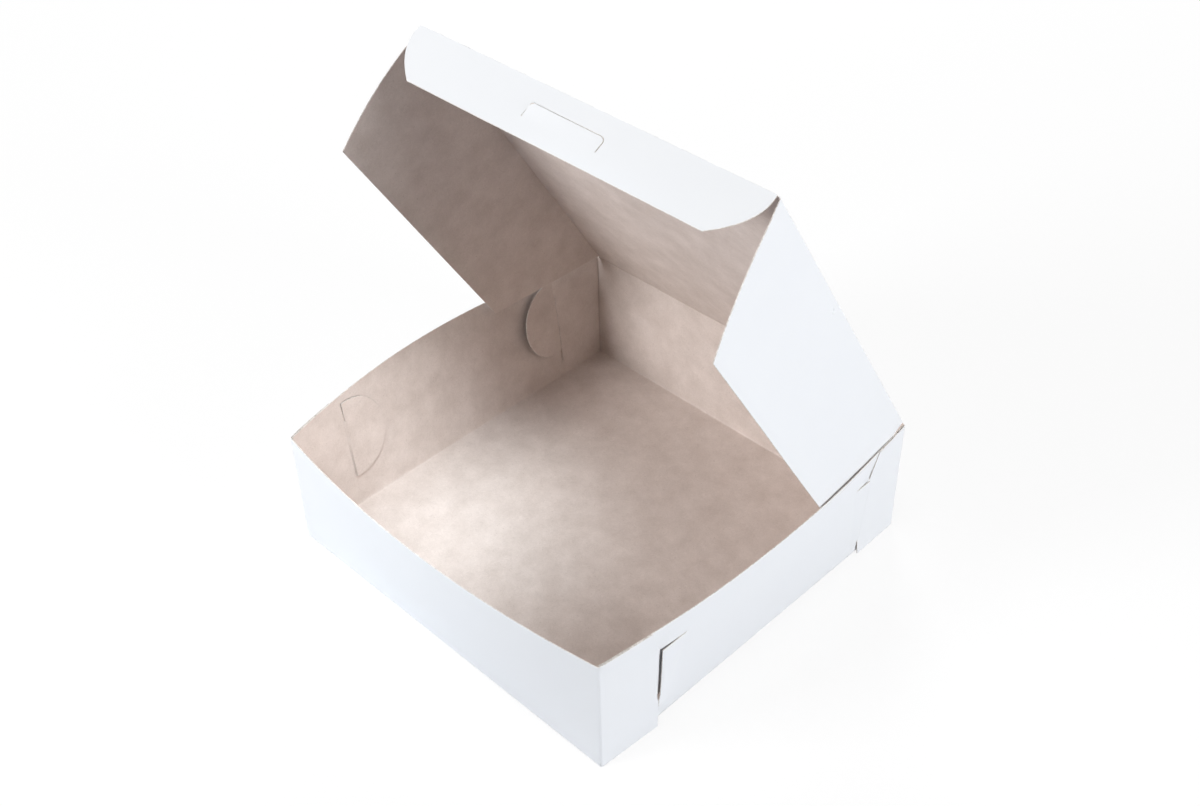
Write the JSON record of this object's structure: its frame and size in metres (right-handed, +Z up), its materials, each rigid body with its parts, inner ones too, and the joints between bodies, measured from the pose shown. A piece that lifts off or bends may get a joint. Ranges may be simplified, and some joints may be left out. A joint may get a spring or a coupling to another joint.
{
  "type": "bakery box",
  "caption": "Open folded paperboard bakery box: shallow square tray with locked corners, hinged lid with side flaps and a front tuck flap with a thumb tab.",
  "frame": {"origin": "middle of the underside of the base panel", "axes": "+Z up out of the tray, +Y towards the lid's hinge, +X to the right seen from the front"},
  "size_m": [0.2246, 0.214, 0.2383],
  "materials": {
    "coated_board": "white clay coat outside, bare kraft inside"
  },
  "bodies": {
    "tray": {"tray": "coated_board"},
    "lid_panel": {"lid_panel": "coated_board"},
    "left_flap": {"left_flap": "coated_board"},
    "right_flap": {"right_flap": "coated_board"},
    "front_flap": {"front_flap": "coated_board"}
  },
  "joints": [
    {"name": "lid_hinge", "type": "hinge", "parent": "tray", "child": "lid_panel", "pos_m": [0, 0.10225, 0.06455], "axis": [-1, 0, 0], "range_deg": [-58.5, 121.5]},
    {"name": "left_flap_crease", "type": "hinge", "parent": "lid_panel", "child": "left_flap", "pos_m": [-0.0997, 0.10225, 0.06455], "axis": [0, 0.5225, -0.8526], "range_deg": [-18.9, 39.1]},
    {"name": "right_flap_crease", "type": "hinge", "parent": "lid_panel", "child": "right_flap", "pos_m": [0.0997, 0.10225, 0.06455], "axis": [0, -0.5225, 0.8526], "range_deg": [-11.8, 24.5]},
    {"name": "front_flap_crease", "type": "hinge", "parent": "lid_panel", "child": "front_flap", "pos_m": [0, -0.00426, 0.2376], "axis": [1, 0, 0], "range_deg": [0, 80]}
  ],
  "couplings": [
    {"joint": "left_flap_crease", "follows": "lid_hinge", "ratio": 0.32},
    {"joint": "right_flap_crease", "follows": "lid_hinge", "ratio": 0.2}
  ]
}
